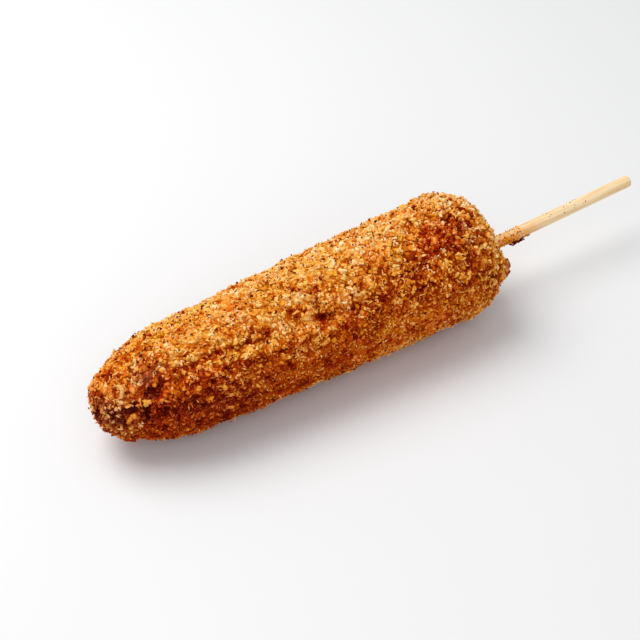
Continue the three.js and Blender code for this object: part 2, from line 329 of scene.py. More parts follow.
# Each point: distance from the tip, angle round the cob (90 is the top, 180 the shown side), strength.
furrows = {
    "long": {
        "line": (
            (27, 121, 0.0), (32, 122.5, 0.8), (39, 126.5, 1.0), (47, 125.5, 1.0), (54, 125, 1.0),
            (60, 128, 0.9), (65, 129.5, 0.4), (70, 129.5, 0.1), (88, 131, 0.1), (95, 134, 0.35),
            (101, 136.5, 0.5), (106, 137, 0.5), (114, 139, 0.25), (126, 141, 0.4), (137, 137, 0.4),
            (146, 133.5, 0.6), (158, 129, 0.3), (168, 127, 0.0),
        ),
        "halfWidth": 1.5,  # mm
        "depth": 1.0,
        "darker": 0.28,
        "redder": 0.55,
    },
    "short": {
        "line": (
            (42, 148, 0.0), (44, 148, 0.7), (49.5, 147, 1.0), (54, 143.5, 1.0), (61, 144.5, 1.0),
            (68, 148.5, 0.8), (74, 151, 0.6), (79.5, 148, 1.0), (84, 147, 0.2), (88, 145, 0.0),
        ),
        "halfWidth": 1.7,
        "depth": 0.5,
        "darker": 0.18,
        "redder": 0.3,
    },
    "tip crack": {
        "line": (
            (0.6, 136, 0.0), (2.9, 149, 1.0), (7.5, 151, 1.0), (11.7, 153, 1.0), (14, 154, 1.0),
            (16, 156, 0.0),
        ),
        "halfWidth": 0.6,
        "depth": 1.4,
        "darker": 0.36,
        "redder": 0.0,
    },
}  # fmt: skip
# Dents: distance from the tip, angle, reach along and round in mm, and depth in mm (below 0 is a lump).
dents = (
    (21.3, 134, 3.2, 3.2, 1.4),  # burnt pit
    (16.6, 164, 1.5, 6.5, 3.0),  # tip cleft
    (101.5, 134.5, 2.6, 2.6, 0.6),  # furrow pit
    (26, 122, 3.4, 3.0, -0.5),  # lump by the pit
    (9, 152, 4.0, 7.0, -0.5),  # tip's front lump
    (200, 118, 6.0, 10.0, 1.4),  # over the stick
    (201, 150, 4.0, 8.0, 1.5),  # below the stick
    (0.9, 133, 1.2, 1.8, 1.2),  # crack's end
)


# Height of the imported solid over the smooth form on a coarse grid: a bell-weighted average of its corners.
def packedRelief(settings):
    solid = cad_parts["crusted_cob"].data
    corners = np.empty(len(solid.vertices) * 3, np.float32)
    solid.vertices.foreach_get("co", corners)
    corners = np.unique(corners.reshape(-1, 3).round(6), axis=0).astype(float) / millimetre
    corners = corners[stickDistance(corners) > settings["stickClearance"]]
    along = corners[:, 0] - tipX
    offset = corners - middleLine(along)
    angle = np.arctan2(offset[:, 2], offset[:, 1])
    half = np.stack((along, np.hypot(offset[:, 1], offset[:, 2])), -1)
    stride = settings["girthStride"]
    nearest = np.linalg.norm(half[:, None] - girth[None, ::stride], axis=2).argmin(1) * stride
    across = half - girth[nearest]
    height = across[:, 1] * girthSlope[nearest, 0] - across[:, 0] * girthSlope[nearest, 1]
    feet, _ = formPlace(girthArc[nearest], angle)
    rows = []
    angles = fullTurn(settings["angleSteps"])
    for arc in np.linspace(0, girthLength, settings["arcSteps"]):
        places, _ = formPlace(np.full_like(angles, arc), angles)
        squared = ((places[:, None] - feet[None]) ** 2).sum(2)
        weight = np.exp(-squared / settings["averageReach"] ** 2)
        weight = weight + settings["faint"] * np.exp(-squared / settings["faintReach"] ** 2)
        rows.append(weight @ height / weight.sum(1))
    return np.array(rows)


relief = packedRelief(reliefSettings)


# The averaged relief between its grid's points, blended straight along and round the cob.
def reliefAt(arc, angle):
    rows, columns = relief.shape
    row = np.clip(arc / girthLength * (rows - 1), 0, rows - 1.001)  # leaves a row above each
    column = (angle / (2 * np.pi) % 1) * columns
    lowRow, lowColumn = np.floor(row).astype(int), np.floor(column).astype(int) % columns
    rowShare, columnShare = row - lowRow, column - np.floor(column)
    nextColumn = (lowColumn + 1) % columns
    low, high = (
        relief[each, lowColumn] * (1 - columnShare) + relief[each, nextColumn] * columnShare
        for each in (lowRow, lowRow + 1)
    )
    return low * (1 - rowShare) + high * rowShare


# Millimetres round the cob from one angle in degrees to another.
def roundDistance(degrees, middle, radius):
    return np.radians(turnFrom(middle, degrees)) * radius


# Bells summed: each has a distance from the tip, an angle, a reach along and round, and its height.
def bellSum(bells, along, degrees, radius):
    total = np.zeros_like(along)
    for bellAlong, bellAngle, reachAlong, reachRound, height in bells:
        squared = ((along - bellAlong) / reachAlong) ** 2
        squared = squared + (roundDistance(degrees, bellAngle, radius) / reachRound) ** 2
        total = total + height * np.exp(-squared)
    return total


# One kind of value of the furrows summed: each is a bell across the furrow's line.
def furrowSum(kind, along, degrees, radius):
    total = 0
    for furrow in furrows.values():
        line = np.array(furrow["line"])
        middle, strength = (np.interp(along, line[:, 0], line[:, k]) for k in (1, 2))
        across = roundDistance(degrees, middle, radius) / furrow["halfWidth"]
        total = total + furrow[kind] * strength * np.exp(-(across**2))
    return total


# Domes over scattered cells from 0 in a gap to 1 on top, and the number of each cell.
def domesAt(points, cells, settings):
    nearest, gap, number = cellPattern(points, cells["size"], cells["seed"])
    dome = np.sqrt(np.clip(1 - (nearest / settings["domeReach"]) ** 2, 0, 1))
    return dome * smoothStep(0, settings["domeGap"], gap), number


def keepAboveFloor(points):
    points[..., 2] = np.maximum(points[..., 2], floorMargin)


# Point of the surface between the crumbs, the form's normal, its cluster's dome and number. The
# surface is the averaged relief with clusters and grains on it, less the furrows and the dents.
def crustPlace(arc, angle):
    settings = reliefSettings
    point, normal = formPlace(arc, angle)
    along, radius = girthAt(arc)
    degrees = np.degrees(angle)
    warp = settings["warp"]
    shifts = [smoothNoise(point, warp["size"], warp["seed"] + axis) for axis in range(3)]
    warped = point + warp["reach"] * np.stack(shifts, -1)
    dome, number = domesAt(warped, settings["clusters"], settings)
    grain, _ = domesAt(warped, settings["grains"], settings)
    least, more = settings["clusterRange"]
    height = reliefAt(arc, angle) - settings["sink"]
    height = height + settings["clusters"]["height"] * dome * (least + more * number)
    height = height + settings["grains"]["height"] * grain
    height = height - furrowSum("depth", along, degrees, radius) - bellSum(dents, along, degrees, radius)
    point = point + normal * height[..., None]
    keepAboveFloor(point)
    return point, normal, dome, number


# The crust's point and the form's normal at distances from the tip and angles in degrees.
def crustSpot(along, degrees):
    point, normal, _, _ = crustPlace(arcAt(along), np.radians(degrees))
    return point, normal


# Patches: distance from the tip, angle, reach along and round in mm, and how much darker (above 0)
# or paler they are. Most are the crust's own toast; those in and beside the tip cleft are painted
# shade, and those along the lowest side partly so.
toastAndShadePatches = (
    # the burnt pit, above it and round it
    (21.5, 133, 3.3, 3.2, 0.52), (24, 110, 9, 5, 0.16), (27.5, 127, 2.5, 3, 0.07), (20, 150, 4, 3, 0.04),
    (15.5, 134, 2.6, 3, -0.1), (11.5, 145, 2.0, 3, 0.14), (33, 116, 3, 3, -0.16), (33, 146, 3, 3, 0.11),
    # the tip cleft: painted shade in it and beside it, then a pale spot
    (16.4, 164, 1.6, 6.0, 0.34), (26, 166, 8, 7, 0.12), (27, 155, 2.5, 2.5, -0.17),
    # the tip's top and rims
    (9, 73, 2.8, 3.2, 0.2), (13, 92, 8, 11, 0.1), (14.5, 92, 2.2, 3.5, -0.25), (19.5, 86, 2.5, 7, 0.12),
    (28, 74, 5, 3.5, 0.12), (12, 104, 8, 8, 0.1), (23, 94, 2.3, 3, -0.26), (9.5, 64, 2.5, 2.5, 0.14),
    (23, 75, 4, 3, 0.12), (3, 88, 2.2, 3, 0.14),
    # the tip's end, curl and front
    (2.0, 84, 3, 4.5, 0.32), (12.5, 112, 3.2, 3.5, 0.17), (10.0, 131, 3, 4, -0.1), (5, 142, 7, 9, -0.05),
    (5.5, 170, 6, 8, 0.06), (0.9, 133, 1.2, 1.5, 0.35), (11, 130, 2, 3.5, -0.16),
    # the middle's top and sides
    (110, 88, 40, 20, -0.03), (80, 66, 60, 6, -0.12), (68, 155, 42, 4, -0.1), (86, 143, 42, 9, -0.07),
    # the two at about 196 degrees below darken the lowest side: painted shade, partly the crust's own toast
    (75, 166, 12, 4, -0.05), (150, 166, 12, 4, -0.09), (55, 198, 26, 6, 0.12), (88, 195, 16, 4, 0.05),
    (189, 182, 6, 5, 0.07), (130, 137, 7, 5, 0.12), (149, 140, 7, 6, 0.15), (120, 165, 7, 6, 0.12),
    (113, 164, 1.6, 3.0, 0.16), (104, 153.5, 1.2, 2.4, 0.16),
    # the thick end
    (177, 104, 7, 6, 0.06), (176, 124, 8, 7, 0.2), (164, 116, 12, 8, 0.1), (148, 119, 8, 5, 0.12),
    (180, 76, 14, 9, -0.08), (195.5, 157, 5, 11, -0.19), (186, 72, 6, 6, -0.1),
    # the furrow pit, then dark spots
    (101.5, 134.5, 2.5, 2.8, 0.42), (125, 150, 2.4, 2.4, 0.2), (186, 97, 4, 3, 0.12),
    (112, 102, 3, 2.2, 0.2), (66, 106, 8, 5, 0.12), (90, 124, 6, 2.5, 0.14), (149, 109, 5, 5, 0.13),
    (179.5, 146, 2.6, 3, 0.18), (185, 136, 2.5, 2.5, 0.13), (185, 175, 4, 3, 0.08), (114, 115, 4, 3, 0.11),
    (174, 125, 3, 3, 0.1), (80, 148, 3.2, 2.2, 0.14), (75, 123.5, 2.2, 1.8, 0.14),
    (66.5, 127, 2.2, 1.8, 0.12), (152, 146, 3.5, 2.5, 0.18), (167, 177, 3.5, 4, 0.14),
    (92, 125, 7, 2, 0.12), (46, 165, 10, 4, 0.1), (53, 105, 12, 3.5, 0.08), (160, 154, 3, 3, 0.13),
    # cream rows
    (42, 114, 11, 4, -0.07), (52, 107, 10, 5.0, -0.12), (81, 117, 6, 3.0, -0.12), (60, 137, 9, 3.5, -0.1),
    (89, 134, 9, 5.0, -0.16), (92, 107, 7, 3.0, -0.1),
    # cream and pale spots
    (114, 124, 9, 4.0, -0.15), (65, 77, 4, 3, -0.08), (144, 88, 12, 6, -0.1), (118, 80, 14, 5, -0.08),
    (158, 135, 4, 3, -0.1), (50, 95, 5, 3, -0.07), (152, 80, 3.2, 7, -0.18), (169, 77, 3.5, 4, -0.22),
    (163, 104, 4, 3, -0.1), (191, 86, 2.5, 3.5, -0.18), (191, 115, 3, 5, -0.2), (65, 124, 3, 2.5, -0.07),
    (75, 136, 3, 3, -0.13), (95, 136, 2.5, 2.5, -0.08), (106, 144, 4, 3, -0.1), (105, 124, 3, 2.5, -0.1),
    (171, 147, 3.5, 4, -0.13), (185.5, 146, 2.5, 2.5, -0.17), (95, 136, 3, 2.5, -0.14),
    (153, 186, 4, 3, -0.16), (167, 76, 3, 3.5, -0.2), (185.5, 97, 2.5, 3, -0.14),
    (191, 112, 2.5, 4, -0.1), (156, 65, 5, 3, -0.12),
)  # fmt: skip
# The same for how red (above 0) or golden a patch is.
redPatches = (
    (14, 95, 4, 5, -0.4), (12, 98, 10, 14, 0.6), (1.5, 100, 3, 8, 0.5),  # the tip's top and end
    (5, 158, 7, 12, -0.7),  # the tip's front
    (22, 126, 6, 5, 0.35), (27, 133, 4, 4, 0.45), (28, 110, 8, 6, 0.3),  # round the burnt pit
    (42, 160, 24, 12, 0.15),  # the tip's lower side
    (67, 109, 5, 3, 0.45), (68.7, 80, 3.5, 2.5, 0.25), (101.5, 134.5, 3, 3, 0.5),  # spots, furrow pit
    (172, 113, 15, 12, 0.7), (148, 124, 12, 7, 0.35),  # the thick end and before it
    (180, 165, 26, 16, -0.45),  # the thick end's lower side
)  # fmt: skip
# The same for how bare of crumbs a patch is.
barePatches = (
    (20, 92, 2.0, 2.0, 0.5), (19.2, 117, 3.2, 2.6, 0.7), (26, 118.5, 4.0, 2.0, 0.6),  # round the pit
    (19, 143, 2.2, 1.0, 0.6), (22, 114, 6.0, 8.0, 0.22),
    (4, 158, 8.0, 10.0, 0.68), (44, 168, 24, 10, 0.15),  # the tip's front and lower side
    (182.3, 112.5, 2.4, 2.0, 0.85), (173, 97.5, 3.4, 1.1, 0.8), (181.5, 128, 2.4, 1.9, 0.85),  # thick end
    (95, 110, 5.0, 1.6, 0.55), (101, 118, 2.4, 1.4, 0.5),  # pinkish row
)  # fmt: skip
# The same for how much more the crumbs there differ.
contrastPatches = (
    (172, 112, 16, 13, 0.6), (182, 78, 16, 14, 0.75), (140, 82, 20, 16, 0.3),  # thick end, its top
    (112, 130, 34, 9, 0.3), (46, 165, 24, 14, 0.2),  # the middle, the tip's lower side
    (12, 98, 10, 14, -0.25), (5, 158, 10, 13, 0.95), (23, 117, 7, 6, 0.6),  # tip's top, front, above the pit
    (21.3, 134, 3.4, 3.4, -0.7), (101.5, 134.5, 3.2, 3.2, -0.7),  # burnt pit, furrow pit
    (98, 172, 30, 16, -0.15), (196, 140, 14, 30, 0.45),  # the lower middle, the thick end's face
)  # fmt: skip
shadeSettings = {
    "base": 0.305,
    # Away from the palest angle, towards the lower side, the crust grows darker and redder: partly its own
    # toast, partly painted shade and painted warm bounce light.
    "palest": 80,  # the angle round the cob that is palest
    "turn": (28, 82),  # degrees from it over which the crust turns dark
    "tipSide": 0.31,
    "stickSide": 0.205,
    "sideChange": (60, 130),  # distance from the tip over which the lower side changes
    "rowWaves": {"size": (13, 5, 5), "height": 0.06, "seed": 5},
    "clumpWaves": {"size": (4.2, 3.2, 3.2), "height": 0.08, "seed": 7},
    "clusterMix": 0.2,  # how far clusters differ
    # Darker gaps between the clusters are painted shade.
    "gap": 0.18,  # how much darker the gaps between clusters are
    "gapPower": 1.3,
    "calmBelow": 0.5,  # how much less of both there is on the lower side
    "calmTurn": (75, 100),  # degrees from the palest angle over which it grows calm
    "redBase": 0.1,
    "redBelowAndWarmBounce": 0.33,
    "redSpots": {"size": 3.2, "height": 0.4, "seed": 51},
    "redDrifts": {"size": 11, "height": 0.38, "seed": 57},
    "spotDarkening": 0.2,  # how much darker the reddest spots are
}


# How toasted and shaded, how red and how bare, and how far crumbs differ. Toast and shade: a base,
# more below (partly painted shade), waves stretched along the rows, the furrows, the patches (some
# of them painted shade), each cluster's own tone, and painted shade down between the clusters. Red:
# a base, more below (partly painted warm bounce light), spots, drifts, the furrows and the patches.
def shadesAt(arc, angle, dome, number):
    settings = shadeSettings
    along, radius = girthAt(arc)
    point, _ = formPlace(arc, angle)
    spot = (along, np.degrees(angle), radius)
    fromPalest = np.abs(turnFrom(settings["palest"], np.degrees(angle)))
    turned = smoothStep(*settings["turn"], fromPalest)
    spots = waveAt(point, settings["redSpots"])
    # Redder below: partly the crust's own colour, partly painted warm bounce light.
    red = settings["redBase"] + settings["redBelowAndWarmBounce"] * turned + spots + waveAt(point, settings["redDrifts"])
    red = red + furrowSum("redder", *spot) + bellSum(redPatches, *spot)
    change = smoothStep(*settings["sideChange"], along)
    lower = settings["tipSide"] + (settings["stickSide"] - settings["tipSide"]) * change
    # Darker below: partly toast, partly painted shade.
    toastAndShade = settings["base"] + lower * turned
    toastAndShade = toastAndShade + waveAt(point, settings["rowWaves"]) + waveAt(point, settings["clumpWaves"])
    toastAndShade = toastAndShade + furrowSum("darker", *spot) + bellSum(toastAndShadePatches, *spot)
    contrast = 1 - settings["calmBelow"] * smoothStep(*settings["calmTurn"], fromPalest)
    contrast = contrast + bellSum(contrastPatches, *spot)
    # Painted shade down between the clusters.
    gapShade = settings["gap"] * (1 - dome) ** settings["gapPower"]
    toastAndShade = toastAndShade + contrast * (settings["clusterMix"] * (0.5 - number) + gapShade)
    toastAndShade = toastAndShade + settings["spotDarkening"] * np.maximum(spots, 0) / settings["redSpots"]["height"]
    return toastAndShade, red, np.clip(bellSum(barePatches, *spot), 0, 1), contrast


# An object at the origin from points in mm and faces with equal numbers of corners; the values are
# its attributes, one number a point.
def meshObject(name, points, faces, material, smooth=True, **values):
    faces = np.asarray(faces, np.int32)
    mesh = bpy.data.meshes.new(name)
    mesh.vertices.add(len(points))
    mesh.vertices.foreach_set("co", (points * millimetre).astype(np.float32).ravel())
    mesh.loops.add(faces.size)
    mesh.loops.foreach_set("vertex_index", faces.ravel())
    mesh.polygons.add(len(faces))
    starts = np.arange(0, faces.size, faces.shape[1], dtype=np.int32)
    mesh.polygons.foreach_set("loop_start", starts)
    mesh.polygons.foreach_set("use_smooth", np.full(len(faces), smooth))
    mesh.update(calc_edges=True)
    for attribute, numbers in values.items():
        layer = mesh.attributes.new(attribute, "FLOAT", "POINT")
        layer.data.foreach_set("value", np.asarray(numbers, np.float32))
    mesh.materials.append(material)
    print(f"{name}: {len(points)} points, {len(faces)} faces")
    return newObject(name, mesh)


# An object of many copies of a shape: its points are copies x corners x 3, and each of the values has
# one number a copy or one a corner.
def copiesObject(name, points, faces, material, smooth, **values):
    copies, corners = points.shape[:2]
    keepAboveFloor(points)
    faces = (faces[None] + corners * np.arange(copies)[:, None, None]).reshape(-1, 3)
    spread = {}
    for key, each in values.items():
        spread[key] = np.broadcast_to(each.reshape(copies, -1), (copies, corners)).ravel()
    return meshObject(name, points.reshape(-1, 3), faces, material, smooth, **spread)


# Triangles of a grid of rings that close round their sides, wound to point outwards where the rings
# go along +X and the sides turn from +Y to +Z, with a fan at each end to the two last points.
def tubeFaces(rings, sides):
    row, column = np.meshgrid(np.arange(rings - 1), np.arange(sides), indexing="ij")
    here, beside = row * sides + column, row * sides + (column + 1) % sides
    above, corner = here + sides, beside + sides
    ring = np.arange(sides)
    last = ring + (rings - 1) * sides
    start, end = np.full(sides, rings * sides), np.full(sides, rings * sides + 1)
    return np.vstack((
        np.stack((corner, beside, here), -1).reshape(-1, 3),
        np.stack((above, corner, here), -1).reshape(-1, 3),
        np.stack((start, ring, np.roll(ring, -1)), -1)[:, ::-1],
        np.stack((last, np.roll(last, -1), end), -1)[:, ::-1],
    ))[:, ::-1]  # fmt: skip


# An icosahedron's 12 corners at distance 1 and its 20 faces: the triples of neighbouring corners.
def icosahedron():
    golden = (1 + 5**0.5) / 2
    corners = [(0, a, b * golden) for a in (-1, 1) for b in (-1, 1)]
    corners = np.array([np.roll(corner, turn) for turn in range(3) for corner in corners])
    near = np.isclose(np.linalg.norm(corners[:, None] - corners[None], axis=2), 2)
    i, j, k = (index.ravel() for index in np.indices((12, 12, 12)))
    faces = np.stack((i, j, k), -1)[(i < j) & (j < k) & near[i, j] & near[j, k] & near[i, k]]
    a, b, c = (corners[faces[:, n]] for n in range(3))
    inward = np.einsum("ij,ij->i", np.cross(b - a, c - a), a) < 0
    faces[inward] = faces[inward][:, ::-1]
    return unitRows(corners), faces


# A shape with each face cut into four at its sides' middles, which are moved out to distance 1.
def finerShape(shape):
    corners, faces = shape
    sides = np.sort(np.concatenate((faces[:, :2], faces[:, 1:], faces[:, ::2])), 1)
    edges, number = np.unique(sides, axis=0, return_inverse=True)
    ab, bc, ca = len(corners) + number.ravel().reshape(3, -1)
    a, b, c = faces.T
    pieces = ((a, ab, ca), (ab, b, bc), (ca, bc, c), (ab, bc, ca))
    middles = unitRows(corners[edges].sum(1))
    return np.vstack((corners, middles)), np.vstack([np.stack(piece, -1) for piece in pieces])


twentySided = icosahedron()
roundSided = finerShape(finerShape(twentySided))
eightSided = (
    np.array(((1, 0, 0), (-1, 0, 0), (0, 1, 0), (0, -1, 0), (0, 0, 1), (0, 0, -1)), float),
    np.array(((0, 2, 4), (2, 1, 4), (1, 3, 4), (3, 0, 4), (2, 0, 5), (1, 2, 5), (3, 1, 5), (0, 3, 5))),
)
smoothCorners = 40  # a shape with more corners than this is shaded smooth
plump = ((0.6, 1.0), (0.5, 0.9))  # narrowness and flatness of the rounder crumbs


# Crumbs: a shape whose corners stray in and out, stretched to three half sizes, tilted and spun. Each
# of the values is one number a crumb.
def crumbPiece(name, shape, centres, normals, halfSizes, material, rng, rough=0.35, tilt=0.6, **values):
    count, (shapeCorners, shapeFaces) = len(centres), shape
    sides = len(shapeCorners)
    upright = unitRows(normals + tilt * rng.normal(0, 1, (count, 3)))
    sideways = sidewaysFrom(upright, rng)
    axes = np.stack((sideways, np.cross(upright, sideways), upright), 1)
    corners = shapeCorners[None] * rng.uniform(1 - rough, 1 + rough, (count, sides, 1))
    corners = corners + rng.normal(0, rough / 4, (count, sides, 3))
    offsets = np.einsum("nij,njk->nik", corners * halfSizes[:, None], axes)
    # How high each corner stands over the crumb's middle; the material paints shade on the low ones.
    rise = np.einsum("nij,nj->ni", offsets, normals) / halfSizes.max(1)[:, None]
    points = centres[:, None] + offsets
    return copiesObject(name, points, shapeFaces, material, sides > smoothCorners, rise=rise, **values)


# Half sizes of crumbs of one radius: its own length, a narrower width and a flatter height.
def crumbSizes(radius, narrow, flat, rng):
    count = len(radius)
    shares = (np.ones(count), rng.uniform(*narrow, count), rng.uniform(*flat, count))
    return radius[:, None] * np.stack(shares, -1)


# The stops are pairs of a place from 0 to 1 and a screen colour.
def addRamp(nodes, links, value, stops):
    ramp = nodes.new("ShaderNodeValToRGB")
    elements = ramp.color_ramp.elements
    while len(elements) < len(stops):
        elements.new(0.5)
    for element, (place, colour) in zip(elements, stops):
        element.position = place
        element.color = linear(*colour)
    links.new(value, ramp.inputs["Fac"])
    return ramp.outputs["Color"]


# Each input is a socket to link or a value to set.
def setInputs(links, sockets, inputs):
    for socket, value in zip(sockets, inputs):
        if isinstance(value, (int, float, tuple)):
            socket.default_value = value
        else:
            links.new(value, socket)


def addMath(nodes, links, operation, *inputs):
    node = nodes.new("ShaderNodeMath")
    node.operation = operation
    setInputs(links, node.inputs, inputs)
    return node.outputs[0]


# A Mix node from one colour to another by a share.
def addMix(nodes, links, share, first, second):
    mix = nodes.new("ShaderNodeMix")
    mix.data_type = "RGBA"
    setInputs(links, (mix.inputs[0], mix.inputs[6], mix.inputs[7]), (share, first, second))
    return mix.outputs[2]


def addAttribute(nodes, name):
    attribute = nodes.new("ShaderNodeAttribute")
    attribute.attribute_name = name
    return attribute.outputs["Fac"]


def addNoise(nodes, links, vector, scale, detail=2.0):
    noise = nodes.new("ShaderNodeTexNoise")
    noise.inputs["Scale"].default_value = scale
    noise.inputs["Detail"].default_value = detail
    links.new(vector, noise.inputs["Vector"])
    return noise.outputs["Fac"]


def addBump(nodes, links, height, depth, shader):
    bump = nodes.new("ShaderNodeBump")
    bump.inputs["Strength"].default_value = 1.0
    bump.inputs["Distance"].default_value = depth * millimetre
    links.new(height, bump.inputs["Height"])
    links.new(bump.outputs["Normal"], shader.inputs["Normal"])


# Fried crumb: its tone, mottled by a fine noise and paler where it rises, so painted shade darkens
# its foot, through a golden and a red ramp that are mixed by how red it is, then a third where it is
# bare; pores from a finer noise.
def friedMaterial(name, settings):
    material, nodes, links, shader = newMaterial(name)
    place = nodes.new("ShaderNodeTexCoord").outputs["Object"]
    mottle = addNoise(nodes, links, place, settings["mottleScale"], detail=3.0)
    value = addMath(nodes, links, "MULTIPLY_ADD", mottle, settings["mottle"], -0.5 * settings["mottle"])
    value = addMath(nodes, links, "ADD", value, addAttribute(nodes, "tone"))
    # Painted shade: a crumb is darker low down by the crust and paler where it rises.
    value = addMath(nodes, links, "MULTIPLY_ADD", addAttribute(nodes, "rise"), -settings["riseShare"], value)
    golden, red, bare = (addRamp(nodes, links, value, settings[kind]) for kind in ("golden", "red", "bare"))
    colour = addMix(nodes, links, addAttribute(nodes, "red"), golden, red)
    colour = addMix(nodes, links, addAttribute(nodes, "bare"), colour, bare)
    links.new(colour, shader.inputs["Base Color"])
    pores = addNoise(nodes, links, place, settings["poreScale"])
    spread = settings["roughnessSpread"]
    roughness = addMath(nodes, links, "MULTIPLY_ADD", pores, spread, settings["roughness"] - spread / 2)
    links.new(roughness, shader.inputs["Roughness"])
    addBump(nodes, links, pores, settings["poreDepth"], shader)
    shader.inputs["Specular IOR Level"].default_value = settings["specular"]
    return material


crumbFinish = {
    "golden": (
        (0.0, (255, 228, 172)), (0.12, (255, 212, 136)), (0.28, (250, 198, 101)),
        (0.42, (243, 173, 62)), (0.54, (223, 135, 29)), (0.66, (190, 86, 6)),
        (0.78, (154, 49, 0)), (0.9, (116, 25, 0)), (1.0, (80, 10, 0)),
    ),
    "red": (
        (0.0, (255, 222, 176)), (0.12, (253, 202, 140)), (0.28, (250, 176, 98)),
        (0.42, (240, 140, 52)), (0.54, (222, 103, 20)), (0.66, (192, 63, 3)),
        (0.78, (158, 34, 0)), (0.9, (118, 16, 0)), (1.0, (80, 8, 0)),
    ),
    "bare": ((0.2, (236, 200, 168)), (0.5, (204, 150, 112)), (0.75, (148, 88, 58)), (1.0, (90, 38, 24))),
    "mottleScale": 1100.0,
    "mottle": 0.2,
    # how much painted shade darkens a crumb's foot and pales its top
    "riseShare": 0.1,
    "poreScale": 2600.0,
    "poreDepth": 0.2,
    "roughness": 0.5,
    "roughnessSpread": 0.35,
    "specular": 0.02,
}  # fmt: skip
crustFinish = dict(crumbFinish, mottle=0.3, mottleScale=700.0, riseShare=0.0, poreScale=1800.0)
# The surface between the crumbs is set darker and redder: painted shade under the crumbs.
crustSettings = {"rings": 316, "sides": 244, "darker": 0.11, "redder": 0.1, "bare": 0.5}


# The surface between the crumbs: rings of the crust's place function, closed by a fan at each end.
# It is painted darker and redder than the crumbs: painted shade under them.
def buildCrust(settings):
    arcs = np.linspace(0, girthLength, settings["rings"] + 2)[1:-1]
    arc, angle = allPairs(arcs, fullTurn(settings["sides"]))
    arc = np.concatenate((arc, (0, girthLength)))
    angle = np.concatenate((angle, (0, 0)))
    points, _, dome, number = crustPlace(arc, angle)
    tone, red, bare, _ = shadesAt(arc, angle, dome, number)
    faces = tubeFaces(settings["rings"], settings["sides"])
    material = friedMaterial("friedCrust", crustFinish)
    # Painted shade: darker and redder under the crumbs.
    shades = {"tone": tone + settings["darker"], "red": red + settings["redder"]}
    return meshObject("crustSurface", points, faces, material, bare=settings["bare"] * bare, **shades)


crustSurface = buildCrust(crustSettings)

crumbSettings = {
    "spacing": 1.42,  # mm between crumbs along and round the cob
    "stray": 0.5,
    "radius": (0.45, 1.75),
    "radiusBeta": (1.1, 2.4),
    "flat": (0.36, 0.85),
    "narrow": (0.28, 0.9),
    "bareKept": 0.55,  # crumbs thin out where it is barer than this
    "bareMost": 1.3,
    "coarser": 0.5,  # how far crumbs are larger where they differ more
    "coarserRange": (0.3, 1.1),
    "lift": 0.3,  # share of the radius that a crumb's middle stands over the surface
    "lobes": (0.66, 0.26, 0.08),  # share of crumbs that have one, two and three lobes
    "lobeReach": 0.8,  # how far a lobe lies from the crumb's middle at most, in radii
    "lobeShare": (0.5, 1),  # of that reach
    "lobeRadius": (0.55, 0.9),
    "mix": 0.11,  # how far crumbs side by side differ in tone
    "mixLimit": 1.7,
    "redMix": 0.03,
    "lobeMix": 0.03,
    "clearOfStick": 3.2,
    # Tone bands of the crumbs; the tones carry the painted shade of the lower side and of the gaps as well
    # as the toast.
    "kinds": {
        "creamCrumbs": (-np.inf, 0.34),
        "goldenCrumbs": (0.34, 0.5),
        "amberCrumbs": (0.5, 0.62),
        "toastedCrumbs": (0.62, 0.72),
        "darkCrumbs": (0.72, np.inf),
    },
    "seed": 101,
}


# Places all over the cob: rings a spacing apart, each with as many places as it is round, then strayed.
def scatter(spacing, stray, rng):
    arcs = np.arange(spacing / 2, girthLength, spacing)
    counts = np.maximum(np.round(2 * np.pi * girthAt(arcs)[1] / spacing).astype(int), 3)
    ring = np.repeat(np.arange(len(arcs)), counts)
    first = np.cumsum(counts) - counts
    angle = (np.arange(counts.sum()) - first[ring]) / counts[ring] + rng.uniform(0, 1, len(arcs))[ring]
    angle = (angle + rng.uniform(-stray, stray, len(ring)) / counts[ring]) * 2 * np.pi
    arc = arcs[ring] + rng.uniform(-stray, stray, len(ring)) * spacing
    margin = 0.05  # mm from the form's two ends
    return np.clip(arc, margin, girthLength - margin), angle % (2 * np.pi)


